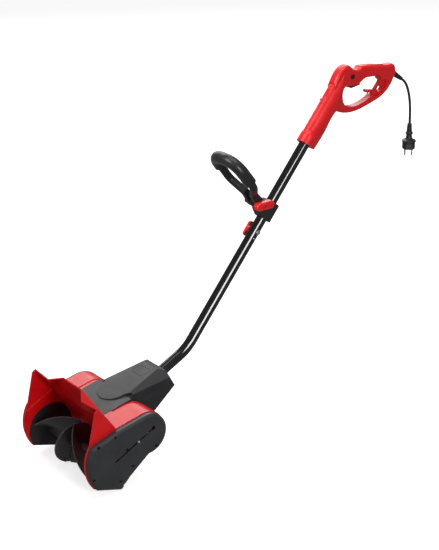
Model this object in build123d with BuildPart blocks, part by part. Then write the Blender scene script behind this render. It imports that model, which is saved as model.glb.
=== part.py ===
"""Electric snow thrower shovel: auger head, bent shaft, loop handle and D-shaped rear handle.

Millimetres, +Z up, the mouth faces -Y and the belt side is +X. The origin lies on the ground
under the middle of the machine. Side views are drawn on planes whose own x runs backwards
from the auger axis and whose own y is the height above the ground.
"""
import os
from math import acos, atan2, cos, degrees, hypot, pi, radians, sin, tan

from build123d import *

os.makedirs("parts", exist_ok=True)

# ---------------------------------------------------------------- driving dimensions
auger_y = -469.05           # auger axis, measured from the origin
auger_z = 58.5              # auger axis above the ground
centre_x = -3.25            # middle of the mouth; the belt side is the deeper one
auger_radius = 56.5
auger_half = 132.0
blade_thickness = 3.6
auger_core_radius = 14.0
shaft_radius = 5.0

wall_outer = 140.5          # outer face of the red side walls
wall_inner = 136.0
skin = 3.0                  # moulded wall thickness of the red housing
chute_radius = 60.0         # curved wall behind the auger
chute_end = -64.0           # degrees, lower end of the curved wall
web_inner = 68.0            # inner side walls of the two lobes
web_outer = 71.0

motor_axis = (97.0, 125.5)  # motor shaft, behind and above the auger axis
lobe_radius = 55.0
top_slope = 11.5            # degrees, top of the side lobes
ear_thickness = 3.0

belt_cover_face = 157.0
side_cover_face = 150.5
cover_inset = 2.0
cover_wall = 3.0
cover_edge = 5.0
auger_pulley_radius = 22.0
motor_pulley_radius = 6.5
pulley_plane = 147.2        # middle of the belt
belt_width = 7.0
belt_thickness = 2.6
running_gap = 0.05

plate_start = (12.0, 164.0)
plate_half = 70.0
shell = 3.7                 # wall of the motor housing

tube_radius = 14.0
tube_wall = 1.5
tube_angle = 50.8           # upper shaft above the horizontal
stub_angle = 26.0           # lower end of the shaft above the horizontal
tube_corner = (326.7, 230.8)
bend_radius = 120.0

cord_radius = 3.5
gap = 0.3


on_base = (Align.CENTER, Align.CENTER, Align.MIN)

# ---------------------------------------------------------------- helpers
def side(x=0.0):
    """Plane for side views: own x is backwards from the auger axis, own y is up."""
    return Plane(origin=(centre_x + x, auger_y, 0), x_dir=(0, 1, 0), z_dir=(1, 0, 0))


def at(x, y, z):
    """A place in the machine: across, backwards from the auger axis, up."""
    return (centre_x + x, auger_y + y, z)


middle = Plane(origin=(centre_x, 0, 0), x_dir=(0, 1, 0), z_dir=(1, 0, 0))


def polar(centre, radius, angle):
    """Point on a circle in a side view; degrees from backwards towards up."""
    return (centre[0] + radius * cos(radians(angle)), centre[1] + radius * sin(radians(angle)))


def along(point, angle, distance, across=0.0):
    """Point reached from another by going along a direction and then square to it."""
    turn = radians(angle)
    return (
        point[0] + distance * cos(turn) - across * sin(turn),
        point[1] + distance * sin(turn) + across * cos(turn),
    )


def save(builder, name):
    builder.part.label = name
    export_step(builder.part, f"parts/{name}.step")


def bar(radius, x_from, x_to, y, z, mode=Mode.ADD):
    """Round bar across the machine, in the part being built."""
    with Locations(at((x_from + x_to) / 2, y, z)):
        Cylinder(radius, x_to - x_from, rotation=(0, 90, 0), mode=mode)


auger_axis = (0.0, auger_z)
lobe_top = polar(motor_axis, lobe_radius, 90 + top_slope)
shoulder = along(lobe_top, 180 + top_slope, 78)
nose = (-65.0, 140.0)
belly = (-79.0, 84.0)
toe = (-56.0, 22.0)
heel = (15.0, 0.0)
lobe_bottom = polar(motor_axis, lobe_radius, -88)
tread = [(88.0, 62.5), (32.9, 20.0), (23.5, 12.0), (24.6, 6.5)]
chute_top = (shoulder[0] - 0.3, shoulder[1])
chute_span = hypot(chute_top[0], chute_top[1] - auger_z)
chute_turn = degrees(atan2(chute_top[1] - auger_z, chute_top[0]) - acos(chute_radius / chute_span))


def head_outline(inset=0.0):
    """Side of the head below the ears."""
    with BuildSketch(Plane.XY) as outline:
        with BuildLine():
            Line(nose, shoulder)
            Line(shoulder, lobe_top)
            CenterArc(motor_axis, lobe_radius, 90 + top_slope, -178 - top_slope)
            Polyline(lobe_bottom, *tread, heel, toe)
            ThreePointArc(toe, belly, nose)
        make_face()
        if inset:
            offset(amount=-inset, kind=Kind.INTERSECTION, mode=Mode.REPLACE)
    return outline.sketch


def mouth_region(grow=0.0):
    """Everything in front of the chute wall, as seen from the side."""
    radius = chute_radius + grow
    knee = polar(auger_axis, radius, chute_turn)
    top = (knee[0] + chute_top[0], knee[1] + chute_top[1])
    base = polar(auger_axis, chute_radius, chute_turn)
    top = (top[0] - base[0], top[1] - base[1])
    beyond = (top[0] + (top[0] - knee[0]) / 3, top[1] + (top[1] - knee[1]) / 3)
    low = polar(auger_axis, 2 * radius, chute_end)
    with BuildSketch(Plane.XY) as region:
        with Locations(auger_axis):
            Circle(radius)
        Polygon(auger_axis, low, (-180, -60), (-180, 260), beyond, knee, align=None)
    return region.sketch


def back_region(grow=0.0):
    """Side of the head behind the chute wall."""
    with BuildSketch(Plane.XY) as region:
        add(head_outline())
        add(mouth_region(grow), mode=Mode.SUBTRACT)
    return region.sketch


def inner_part(region, inset):
    """The same region with its edge moved inwards."""
    with BuildSketch(Plane.XY) as inner:
        add(region)
        offset(amount=-inset, kind=Kind.INTERSECTION, mode=Mode.REPLACE)
    return inner.sketch


head_face = head_outline()
mouth_face = mouth_region()
lobe_face = back_region()
lobe_hollow = inner_part(back_region(skin), skin)

# ---------------------------------------------------------------- auger housing
wing = (-41.4, 224.6)
wing_half = 74.4
crown = (-20.0, 236.0)
crown_half = 39.4
ear_tip = (-39.5, 227.4)
ear_nose = (-46.5, 222.5)
ear_half = 139.0
valley = (9.8, 161.5)
deflector_lean = (0, 0.605, 0.796)
deflector_depth = 3.2
ledge = (-69.3, 124.3)
bearing_radius = 13.0
step_depth = 1.8
step_width = 17.0
motor_bearing_radius = 9.5

left_tip = at(-ear_half, *ear_tip)
left_wing = at(-wing_half, *wing)
left_crown = at(-crown_half, *crown)
left_valley = at(-ear_half, *valley)
right_tip = at(ear_half, *ear_tip)
right_wing = at(wing_half, *wing)
right_crown = at(crown_half, *crown)
right_valley = at(ear_half, *valley)
facets = [
    (left_tip, left_wing, left_valley),
    (left_valley, left_wing, left_crown),
    (left_valley, left_crown, right_crown, right_valley),
    (right_valley, right_crown, right_wing),
    (right_valley, right_wing, right_tip),
]

with BuildPart() as auger_housing:
    # side wall, with the lobe behind it
    with BuildSketch(side(wall_inner)):
        add(head_face)
    extrude(amount=wall_outer - wall_inner)
    with BuildSketch(side(web_inner)):
        add(lobe_face)
        add(lobe_hollow, mode=Mode.SUBTRACT)
    extrude(amount=wall_inner - web_inner)
    with BuildSketch(side(web_inner)):
        add(lobe_face)
    extrude(amount=web_outer - web_inner)
    # shallow step beside the motor housing
    with BuildSketch(side(web_inner)):
        add(head_face)
        add(head_outline(step_depth), mode=Mode.SUBTRACT)
        Polygon((46, 130), (46, 220), (170, 220), (170, 130), align=None, mode=Mode.INTERSECT)
    extrude(amount=step_width, mode=Mode.SUBTRACT)
    # ear
    with BuildSketch(side(wall_outer)):
        Polygon(shoulder, ear_tip, ear_nose, nose, (-40, 120), align=None)
    extrude(amount=-ear_thickness)
    # upper part of the wall is thinner than the part below the ledge
    with BuildSketch(side(wall_outer - ear_thickness)):
        Polygon(valley, ledge, (-110, 120), (-110, 220), (0, 220), align=None)
    extrude(amount=-ear_thickness, mode=Mode.SUBTRACT)
    mirror(about=middle)
    # chute wall from side to side
    with BuildSketch(side()):
        add(mouth_region(skin))
        add(mouth_face, mode=Mode.SUBTRACT)
        Polygon(
            (0, 0), (0, 60), (-20, 150), (-20, 300), (200, 300), (200, 0), align=None, mode=Mode.INTERSECT,
        )
        Polygon((-40, 400), (-40, 163), chute_top, (40, 169), (40, 400), align=None, mode=Mode.SUBTRACT)
    extrude(amount=wall_inner, both=True)
    # snow deflector above the mouth
    for corners in facets:
        deflector_face = Face(Wire.make_polygon(corners))
        add(extrude(deflector_face, deflector_depth, dir=deflector_lean, mode=Mode.PRIVATE))
    # seats for the bearings
    bar(bearing_radius, -wall_outer, wall_outer, *auger_axis, mode=Mode.SUBTRACT)
    bar(motor_bearing_radius, web_inner, wall_outer, *motor_axis, mode=Mode.SUBTRACT)
save(auger_housing, "auger_housing")

# ---------------------------------------------------------------- side covers
screw_radius = 2.0
screw_head_radius = 3.4
well_radius = screw_head_radius + gap
cover_screws = [
    (-1.2, 150.0), (-48.9, 138.0), (-65.0, 56.2), (10.0, 27.2), (47.2, 56.6), (117.1, 89.6), (31.0, 107.6),
]
left_screws = [(-1.2, 150.0), (-48.9, 138.0), (-65.0, 56.2), (10.0, 27.2), (117.1, 89.6)]
face_screw = (64.9, 117.73)
screw_sink = 6.0            # depth of the screw heads below the cover face
boss_radius = 4.2
groove_start = (-1.0, 84.6)
groove_end = (109.2, 140.0)
groove_width = 4.8
groove_eye = 5.6
cover_face_outline = head_outline(cover_inset)
cover_inner_outline = head_outline(cover_inset + cover_wall)

with BuildPart() as belt_cover:
    with BuildSketch(side(wall_outer)):
        add(cover_face_outline)
    extrude(amount=belt_cover_face - wall_outer)
    chamfer(belt_cover.faces().sort_by(Axis.X)[-1].edges(), cover_edge)
    with BuildSketch(side(wall_outer)):
        add(cover_inner_outline)
    extrude(amount=3.0, mode=Mode.SUBTRACT)
    with BuildSketch(side(wall_outer)):
        add(inner_part(cover_inner_outline, 2.4))
    extrude(amount=belt_cover_face - cover_wall - wall_outer, mode=Mode.SUBTRACT)
    with BuildSketch(side(wall_outer)):
        with Locations(*cover_screws):
            Circle(boss_radius)
    extrude(amount=belt_cover_face - wall_outer - 1)
    with BuildSketch(side(belt_cover_face)):
        middle_point = ((groove_start[0] + groove_end[0]) / 2, (groove_start[1] + groove_end[1]) / 2)
        run = (groove_end[0] - groove_start[0], groove_end[1] - groove_start[1])
        with Locations(middle_point):
            SlotCenterToCenter(hypot(*run), groove_width, rotation=degrees(atan2(run[1], run[0])))
        with Locations(groove_end):
            Circle(groove_eye)
    extrude(amount=-cover_wall, mode=Mode.SUBTRACT)
    for y, z in cover_screws:
        bar(well_radius, belt_cover_face - screw_sink, belt_cover_face + 1, y, z, mode=Mode.SUBTRACT)
        bar(screw_radius, wall_outer - 1, belt_cover_face, y, z, mode=Mode.SUBTRACT)
save(belt_cover, "belt_cover")

with BuildPart() as side_cover:
    with BuildSketch(side(-wall_outer)):
        add(cover_face_outline)
    extrude(amount=wall_outer - side_cover_face)
    chamfer(side_cover.faces().sort_by(Axis.X)[0].edges(), cover_edge - 1)
    with BuildSketch(side(-wall_outer)):
        add(cover_inner_outline)
    extrude(amount=-3.0, mode=Mode.SUBTRACT)
    with BuildSketch(side(-wall_outer)):
        add(inner_part(cover_inner_outline, 2.4))
    extrude(amount=cover_wall + wall_outer - side_cover_face, mode=Mode.SUBTRACT)
    with BuildSketch(side(-wall_outer)):
        with Locations(*left_screws):
            Circle(boss_radius)
    extrude(amount=wall_outer - side_cover_face + 1)
    for y, z in left_screws:
        bar(well_radius, -side_cover_face - 1, screw_sink - side_cover_face, y, z, mode=Mode.SUBTRACT)
        bar(screw_radius, -side_cover_face, 1 - wall_outer, y, z, mode=Mode.SUBTRACT)
save(side_cover, "side_cover")

# ---------------------------------------------------------------- auger
disc_lean = 11.5            # degrees, slanted middle disc of the auger
disc_x = -31.0
left_turn = 0.98            # degrees of twist per mm of length
right_turn = -0.90
left_start = 23.0           # degrees from the front towards the top, at the left end
right_start = 99.0          # the same, where the right-hand blades meet the disc
blade_x_left = -132.0
blade_x_join = -36.0

with BuildPart() as auger:
    # twisted blades, one pair on each side of the disc
    with BuildSketch(side(blade_x_left)) as left_section:
        with Locations(Location((0, auger_z), 180 - left_start)):
            Rectangle(2 * auger_radius, blade_thickness)
    add(Solid.extrude_linear_with_rotation(
        left_section.sketch.faces()[0], at(blade_x_left, 0, auger_z),
        (blade_x_join - blade_x_left, 0, 0), -left_turn * (blade_x_join - blade_x_left),
    ))
    with BuildSketch(side(blade_x_join)) as right_section:
        with Locations(Location((0, auger_z), 180 - right_start)):
            Rectangle(2 * auger_radius, blade_thickness)
    add(Solid.extrude_linear_with_rotation(
        right_section.sketch.faces()[0], at(blade_x_join, 0, auger_z),
        (auger_half - blade_x_join, 0, 0), -right_turn * (auger_half - blade_x_join),
    ))
    bar(auger_core_radius, -auger_half, auger_half, 0, auger_z)
    with BuildPart(mode=Mode.PRIVATE) as disc:
        bar(auger_radius, -90, 30, 0, auger_z)
        with Locations(Location(at(disc_x, 0, auger_z), (0, disc_lean, 0))):
            Box(blade_thickness, 4 * auger_radius, 4 * auger_radius, mode=Mode.INTERSECT)
    add(disc.part)
    bar(shaft_radius, -auger_half, auger_half, 0, auger_z, mode=Mode.SUBTRACT)
save(auger, "auger")

# ---------------------------------------------------------------- drive in the belt cover
def pulley(radius, axis, bore):
    """Grooved belt pulley on a shaft, in the part being built."""
    half = belt_width / 2 + 1.2
    bar(radius + 1.4, pulley_plane - half, pulley_plane + half, *axis)
    with BuildSketch(side(pulley_plane - belt_width / 2 - 0.1)) as band:
        with Locations(axis):
            Circle(radius + 4)
            Circle(radius, mode=Mode.SUBTRACT)
    extrude(band.sketch, belt_width + 0.2, mode=Mode.SUBTRACT)
    if radius > 3 * bore:
        with BuildSketch(side(pulley_plane - half)) as dish:
            with Locations(axis):
                Circle(radius - 4)
                Circle(bore + 5, mode=Mode.SUBTRACT)
        extrude(dish.sketch, 2.5, mode=Mode.SUBTRACT)
        with BuildSketch(side(pulley_plane + half)) as dish:
            with Locations(axis):
                Circle(radius - 4)
                Circle(bore + 5, mode=Mode.SUBTRACT)
        extrude(dish.sketch, -2.5, mode=Mode.SUBTRACT)
    bar(bore, pulley_plane - half - 1, pulley_plane + half + 1, *axis, mode=Mode.SUBTRACT)


motor_shaft_radius = 4.0
shaft_tip = 153.0

with BuildPart() as auger_pulley:
    pulley(auger_pulley_radius, auger_axis, shaft_radius)
save(auger_pulley, "auger_pulley")

with BuildPart() as motor_pulley:
    pulley(motor_pulley_radius, motor_axis, motor_shaft_radius)
save(motor_pulley, "motor_pulley")

with BuildPart() as drive_belt:
    with BuildSketch(side(pulley_plane - belt_width / 2)):
        with BuildSketch(mode=Mode.PRIVATE) as around:
            with Locations(auger_axis):
                Circle(auger_pulley_radius + running_gap + belt_thickness)
            with Locations(motor_axis):
                Circle(motor_pulley_radius + running_gap + belt_thickness)
            make_hull()
        with BuildSketch(mode=Mode.PRIVATE) as within:
            with Locations(auger_axis):
                Circle(auger_pulley_radius + running_gap)
            with Locations(motor_axis):
                Circle(motor_pulley_radius + running_gap)
            make_hull()
        add(around.sketch_local)
        add(within.sketch_local, mode=Mode.SUBTRACT)
    extrude(amount=belt_width)
save(drive_belt, "drive_belt")

with BuildPart() as auger_shaft:
    bar(shaft_radius, 8 - side_cover_face, shaft_tip, *auger_axis)
    chamfer(auger_shaft.edges().filter_by(GeomType.CIRCLE), 0.6)
save(auger_shaft, "auger_shaft")

nut_width = 16.0
nut_thickness = 5.0
with BuildPart() as pulley_nut:
    with BuildSketch(side(-wall_outer - 1 - nut_thickness)):
        with Locations(auger_axis):
            RegularPolygon(nut_width / 2, 6, major_radius=False)
            Circle(shaft_radius, mode=Mode.SUBTRACT)
    extrude(amount=nut_thickness)
save(pulley_nut, "shaft_nut")

bearing_length = 6.0
auger_bearing_x = [-wall_outer + 0.5, wall_outer - 0.5 - bearing_length]


def bearing(outer, bore, x, axis):
    """Sealed bearing with a running fit on its shaft, in the part being built."""
    bar(outer, x, x + bearing_length, *axis)
    bar(bore + running_gap, x - 1, x + bearing_length + 1, *axis, mode=Mode.SUBTRACT)
    for face_x in (x, x + bearing_length - 0.5):
        with BuildSketch(side(face_x)) as recess:
            with Locations(axis):
                Circle(outer - 1.8)
                Circle(bore + 1.8, mode=Mode.SUBTRACT)
        extrude(recess.sketch, 0.5, mode=Mode.SUBTRACT)


with BuildPart() as auger_bearing_left:
    bearing(bearing_radius, shaft_radius, auger_bearing_x[0], auger_axis)
save(auger_bearing_left, "auger_bearing_left")
with BuildPart() as auger_bearing_right:
    bearing(bearing_radius, shaft_radius, auger_bearing_x[1], auger_axis)
save(auger_bearing_right, "auger_bearing_right")

# ---------------------------------------------------------------- end discs inside the mouth
disc_radius = 65.3
disc_thickness = 2.0


def end_disc(x):
    """Dark disc on the inside of a side wall, trimmed to the chute wall behind."""
    with BuildSketch(side(x)) as disc_face:
        with Locations(auger_axis):
            Circle(disc_radius)
        add(mouth_face, mode=Mode.INTERSECT)
        add(head_outline(1.0), mode=Mode.INTERSECT)
        with Locations(auger_axis):
            Circle(bearing_radius, mode=Mode.SUBTRACT)
    extrude(disc_face.sketch, disc_thickness)


with BuildPart() as left_disc:
    end_disc(-wall_inner)
save(left_disc, "end_disc_left")
with BuildPart() as right_disc:
    end_disc(wall_inner - disc_thickness)
save(right_disc, "end_disc_right")

# ---------------------------------------------------------------- scraper along the bottom
with BuildPart() as scraper:
    with BuildSketch(side(-wall_inner)):
        start = polar(auger_axis, chute_radius + skin, chute_end + 26)
        end = polar(auger_axis, chute_radius + skin, chute_end + 1)
        with BuildLine():
            outer = ThreePointArc(start, polar(auger_axis, chute_radius + skin, chute_end + 13), end)
            Polyline(end, (end[0] + 2.0, 0.6), (end[0] + 4.5, 0.6))
            ThreePointArc(
                (end[0] + 4.5, 0.6), polar(auger_axis, chute_radius + skin + 3, chute_end + 14),
                polar(auger_axis, chute_radius + skin + 2.5, chute_end + 26),
            )
            Line(polar(auger_axis, chute_radius + skin + 2.5, chute_end + 26), start)
        make_face()
    extrude(amount=2 * wall_inner)
save(scraper, "scraper_blade")

# ---------------------------------------------------------------- motor housing
rear_top = (232.0, 214.0)
rear_low = (256.6, 166.8)
under = (182.8, 125.1)
parting_rear = (241.7, 185.9)
parting_front = (155.7, 161.7)
parting_angle = degrees(atan2(parting_rear[1] - parting_front[1], parting_rear[0] - parting_front[0]))
socket = along((260.1, 198.3), 180 + stub_angle, 70)

with BuildSketch(Plane.XY) as housing_profile:
    Polygon(plate_start, rear_top, rear_low, under, (150, 105), (100, 90), (60, 100), (30, 140), align=None)
    add(lobe_face)
    add(mouth_region(skin), mode=Mode.SUBTRACT)
housing_hollow = inner_part(housing_profile.sketch, shell)
shaft_hole = 8.0
with BuildSketch(Plane.XY) as upper_half:
    Polygon(along(parting_front, parting_angle, -300), along(parting_front, parting_angle, 300),
            (500, 500), (-200, 500), align=None)

# flat faces that narrow the housing towards the shaft
upper_facet = Plane(origin=at(56, 119, 187.5), z_dir=(1, 0.0947, 0.2))
lower_facet = Plane(origin=at(58, 155.7, 161.7), z_dir=(1, 0.1316, 0.1521))
neck_start = 105.0
collar_wall = 5.0
stub_direction = (0, cos(radians(stub_angle)), sin(radians(stub_angle)))
socket_plane = Plane(origin=at(0, *socket), z_dir=stub_direction)


def flanks(inset):
    """What is cut away on both sides of the neck."""
    with BuildPart(Plane.XY, mode=Mode.PRIVATE) as cutter:
        for facet in (upper_facet, lower_facet):
            with Locations(facet.offset(-inset).location):
                Box(600, 600, 200, align=on_base)
        with BuildSketch(side(20)) as behind:
            Polygon((neck_start, 0), (neck_start, 400), (400, 400), (400, 0), align=None)
        extrude(behind.sketch, 120, mode=Mode.INTERSECT)
        mirror(about=middle)
    return cutter.part


flank_cut = flanks(0)
with BuildPart() as housing_space:
    with BuildSketch(side()):
        add(housing_hollow)
    extrude(amount=web_inner - shell, both=True)
    add(flanks(shell), mode=Mode.SUBTRACT)
    with Locations(socket_plane.location):
        Cylinder(tube_radius + collar_wall, 140, align=on_base, mode=Mode.SUBTRACT)
    bar(shaft_hole, 50, web_inner, *motor_axis)
with BuildPart() as tube_bore:
    with Locations(socket_plane.location):
        Cylinder(tube_radius, 160, align=on_base)

# raised middle of the top, flat with slanted sides and a round front end
tongue_front = (60.0, 177.0)
tongue_back = (212.7, 219.3)
tongue_round = 44.0
tongue_centre = 104.0
ridge_front = Vector(*at(56, 119, 188.3))
ridge_back = Vector(*at(40, 232, 214))
tongue_corner = Vector(*at(30, *tongue_back))
bevel_normal = (ridge_back - ridge_front).cross(tongue_corner - ridge_front)
bevel = Plane(origin=ridge_front, z_dir=bevel_normal)

with BuildPart() as tongue:
    with BuildSketch(side()):
        Polygon(tongue_front, tongue_back, rear_top, (232, 200), (56, 164), (56, 176), align=None)
    extrude(amount=60, both=True)
    with BuildSketch(Plane(origin=at(0, 0, 100))):
        with Locations((0, tongue_centre)):
            Circle(tongue_round)
        Polygon((-44, 104), (-57, 121), (-57, 240), (57, 240), (57, 121), (44, 104), align=None)
    extrude(amount=200, mode=Mode.INTERSECT)
    with BuildPart(mode=Mode.PRIVATE) as bevel_cut:
        with Locations(bevel.location):
            Box(600, 600, 100, align=on_base)
        mirror(about=middle)
    add(bevel_cut.part, mode=Mode.SUBTRACT)

plate_slope = (rear_top[1] - plate_start[1]) / (rear_top[0] - plate_start[0])
latch_across = 51.0
latch_width = 9.0
latch_length = 15.0
latch_depth = 2.6
latch_plane = Plane(
    origin=at(0, 112, plate_start[1] + plate_slope * (112 - plate_start[0])), x_dir=(1, 0, 0),
    z_dir=(0, -plate_slope, 1),
)
tongue_rise = (tongue_back[1] - tongue_front[1]) / (tongue_back[0] - tongue_front[0])
badge_width = 44.0
badge_length = 30.0
badge_plane = Plane(
    origin=at(0, 184, tongue_front[1] + tongue_rise * (184 - tongue_front[0])), x_dir=(1, 0, 0),
    z_dir=(0, -tongue_rise, 1),
)

with BuildPart() as top_cover:
    with BuildSketch(side(-plate_half)):
        add(housing_profile.sketch)
        add(head_face, mode=Mode.SUBTRACT)
        Polygon((0, 100), (0, 300), (neck_start, 300), (neck_start, 100), align=None, mode=Mode.INTERSECT)
    extrude(amount=2 * plate_half)
    with BuildSketch(side()):
        add(housing_profile.sketch)
        add(upper_half.sketch, mode=Mode.INTERSECT)
    extrude(amount=web_inner, both=True)
    add(flank_cut, mode=Mode.SUBTRACT)
    add(tongue.part)
    # latch pockets beside the front of the tongue, and the frame of a blank badge
    with Locations(latch_plane.location):
        with Locations((latch_across, 0), (-latch_across, 0)):
            Box(latch_width, latch_length, 2 * latch_depth, mode=Mode.SUBTRACT)
        latch_floor = -latch_depth - 0.5
        with Locations((latch_across - 1.5, 1, latch_floor), (1.5 - latch_across, 1, latch_floor)):
            Box(3.4, latch_length - 6, 2.2, align=on_base)
    with BuildSketch(badge_plane):
        RectangleRounded(badge_width, badge_length, 3)
        RectangleRounded(badge_width - 1.6, badge_length - 1.6, 2.2, mode=Mode.SUBTRACT)
    extrude(amount=-0.6, mode=Mode.SUBTRACT)
    add(housing_space.part, mode=Mode.SUBTRACT)
    add(tube_bore.part, mode=Mode.SUBTRACT)
save(top_cover, "motor_housing_top")

with BuildPart() as lower_cover:
    with BuildSketch(side()):
        add(housing_profile.sketch)
        add(upper_half.sketch, mode=Mode.SUBTRACT)
    extrude(amount=web_inner, both=True)
    add(flank_cut, mode=Mode.SUBTRACT)
    add(housing_space.part, mode=Mode.SUBTRACT)
    add(tube_bore.part, mode=Mode.SUBTRACT)
save(lower_cover, "motor_housing_bottom")

# ---------------------------------------------------------------- motor
rotor_back = -53.0
armature_ends = (-22.0, 20.0)
commutator_ends = (-44.0, -28.0)
stator_ends = (-20.0, 18.0)
fan_x = 34.0
fan_width = 12.0
air_gap = 0.7
armature_radius = 21.0

with BuildPart() as motor_shaft:
    bar(motor_shaft_radius, rotor_back, shaft_tip, *motor_axis)
save(motor_shaft, "motor_shaft")


def spokes(count, radius, length, width, x_from, x_to, mode, start=0.0):
    """Bars set round the motor shaft, in the part being built."""
    with BuildSketch(side(x_from)) as ring:
        with Locations(motor_axis):
            with PolarLocations(radius, count, start_angle=start):
                Rectangle(length, width)
    extrude(ring.sketch, x_to - x_from, mode=mode)


with BuildPart() as armature:
    bar(armature_radius, *armature_ends, *motor_axis)
    spokes(12, armature_radius - 2, 8, 1.6, *armature_ends, Mode.SUBTRACT)
    bar(motor_shaft_radius, *armature_ends, *motor_axis, mode=Mode.SUBTRACT)
save(armature, "armature")

with BuildPart() as commutator:
    bar(12.0, *commutator_ends, *motor_axis)
    spokes(12, 12.0, 2, 0.8, *commutator_ends, Mode.SUBTRACT)
    bar(motor_shaft_radius, *commutator_ends, *motor_axis, mode=Mode.SUBTRACT)
save(commutator, "commutator")

with BuildPart() as fan:
    bar(36.0, fan_x, fan_x + 2.5, *motor_axis)
    bar(9.0, fan_x, fan_x + fan_width, *motor_axis)
    spokes(11, 22, 27, 1.8, fan_x, fan_x + fan_width, Mode.ADD)
    bar(motor_shaft_radius, fan_x, fan_x + fan_width, *motor_axis, mode=Mode.SUBTRACT)
save(fan, "motor_fan")

with BuildPart() as stator:
    bar(38.0, *stator_ends, *motor_axis)
    spokes(4, 27, 9, 12, *stator_ends, Mode.SUBTRACT, start=45)
    bar(armature_radius + air_gap, *stator_ends, *motor_axis, mode=Mode.SUBTRACT)
save(stator, "stator_core")

coil_overhang = 6.0
with BuildPart() as field_coils:
    coil_ends = (stator_ends[0] - coil_overhang, stator_ends[1] + coil_overhang)
    spokes(4, 27, 8.9, 11.9, *coil_ends, Mode.ADD, start=45)
    for x_from in (stator_ends[0] - coil_overhang, stator_ends[1]):
        bar(32, x_from, x_from + coil_overhang, *motor_axis)
        with Locations(at(x_from + coil_overhang / 2, *motor_axis)):
            Box(coil_overhang, 12, 100, mode=Mode.SUBTRACT)
    coil_bore = armature_radius + air_gap + 1
    bar(coil_bore, stator_ends[0] - 20, stator_ends[1] + 20, *motor_axis, mode=Mode.SUBTRACT)
save(field_coils, "field_coils")

frame_x = [-54.0, 49.0]
frame_thickness = 6.0


def motor_frame(x, bore):
    """Plate that holds one end of the motor in the housing, in the part being built."""
    with BuildSketch(side(x)) as plate:
        with Locations(motor_axis):
            Circle(lobe_radius - shell - 0.1)
        add(housing_hollow, mode=Mode.INTERSECT)
        with Locations(motor_axis):
            Circle(bore, mode=Mode.SUBTRACT)
            with PolarLocations(30, 6):
                Circle(7, mode=Mode.SUBTRACT)
    extrude(plate.sketch, frame_thickness)


with BuildPart() as frame_left:
    motor_frame(frame_x[0], motor_bearing_radius)
save(frame_left, "motor_frame_left")
with BuildPart() as frame_right:
    motor_frame(frame_x[1], motor_shaft_radius + 2)
save(frame_right, "motor_frame_right")
with BuildPart() as motor_bearing_left:
    bearing(motor_bearing_radius, motor_shaft_radius, frame_x[0], motor_axis)
save(motor_bearing_left, "motor_bearing_left")
with BuildPart() as motor_bearing_right:
    bearing(motor_bearing_radius, motor_shaft_radius, wall_inner - 1.5, motor_axis)
save(motor_bearing_right, "motor_bearing_right")

brush_middle = (commutator_ends[0] + commutator_ends[1]) / 2
brush_reach = 18.0
with BuildPart() as brushes:
    for turn in (90, 270):
        y, z = polar(motor_axis, 12 + gap + brush_reach / 2, turn)
        with Locations(at(brush_middle, y, z)):
            Box(8, 6, brush_reach)
save(brushes, "carbon_brushes")
holder_back = frame_x[0] + frame_thickness
with BuildPart() as brush_holders:
    for turn in (90, 270):
        y, z = polar(motor_axis, 27, turn)
        with Locations(at(brush_middle, y, z)):
            Box(12, 12, 18)
        y, z = polar(motor_axis, 33, turn)
        with Locations(at((holder_back + brush_middle) / 2, y, z)):
            Box(brush_middle - holder_back, 12, 6)
    add(brushes.part, mode=Mode.SUBTRACT)
save(brush_holders, "brush_holders")

# ---------------------------------------------------------------- shaft
joint_y = 529.0             # seam between the two tubes
insert_length = 95.0        # how far the lower tube runs inside the upper one
fit_radius = tube_radius - tube_wall
joint_point = (joint_y, tube_corner[1] + (joint_y - tube_corner[0]) * tan(radians(tube_angle)))


def shaft_point(distance, across=0.0):
    """Point beside the upper tube, measured from the seam along it and square to it."""
    return along(joint_point, tube_angle, distance, across)


def shaft_plane(distance):
    """Plane square to the upper tube."""
    return Plane(
        origin=at(0, *shaft_point(distance)), x_dir=(1, 0, 0),
        z_dir=(0, cos(radians(tube_angle)), sin(radians(tube_angle))),
    )


tube_start = along((260.1, 198.3), 180 + stub_angle, 66)
pin_place = shaft_point(9)
bolt_y, bolt_z = shaft_point(28)
with BuildPart() as lower_tube:
    with BuildLine(side()) as bend:
        FilletPolyline(tube_start, tube_corner, joint_point, radius=bend_radius)
    with BuildSketch(Plane(origin=at(0, *tube_start), z_dir=stub_direction)):
        Circle(tube_radius)
        Circle(fit_radius - tube_wall, mode=Mode.SUBTRACT)
    sweep(path=bend.wire())
    with BuildSketch(shaft_plane(0)):
        Circle(fit_radius)
        Circle(fit_radius - tube_wall, mode=Mode.SUBTRACT)
    extrude(amount=insert_length)
    bar(3.0, -tube_radius, tube_radius, bolt_y, bolt_z, mode=Mode.SUBTRACT)
    bar(2.6, 5, tube_radius + 1, *pin_place, mode=Mode.SUBTRACT)
save(lower_tube, "lower_tube")

handle_seat = 318.0         # distance from the seam to the end of the upper tube
with BuildPart() as upper_tube:
    with BuildSketch(shaft_plane(0)):
        Circle(tube_radius)
        Circle(fit_radius, mode=Mode.SUBTRACT)
    extrude(amount=handle_seat)
    bar(3.0, -tube_radius - 1, tube_radius + 1, bolt_y, bolt_z, mode=Mode.SUBTRACT)
    bar(2.6, 5, tube_radius + 1, *pin_place, mode=Mode.SUBTRACT)
save(upper_tube, "upper_tube")

# bolt and wing knob that lock the two tubes
with BuildPart() as tube_bolt:
    bar(3.0, -tube_radius - 9, tube_radius + 2, bolt_y, bolt_z)
    with Locations(at(tube_radius + 2.4, bolt_y, bolt_z)):
        Cylinder(6.5, 3.6, rotation=(0, 90, 0))
    fillet(tube_bolt.faces().sort_by(Axis.X)[-1].edges(), 1.6)
save(tube_bolt, "tube_bolt")

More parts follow.
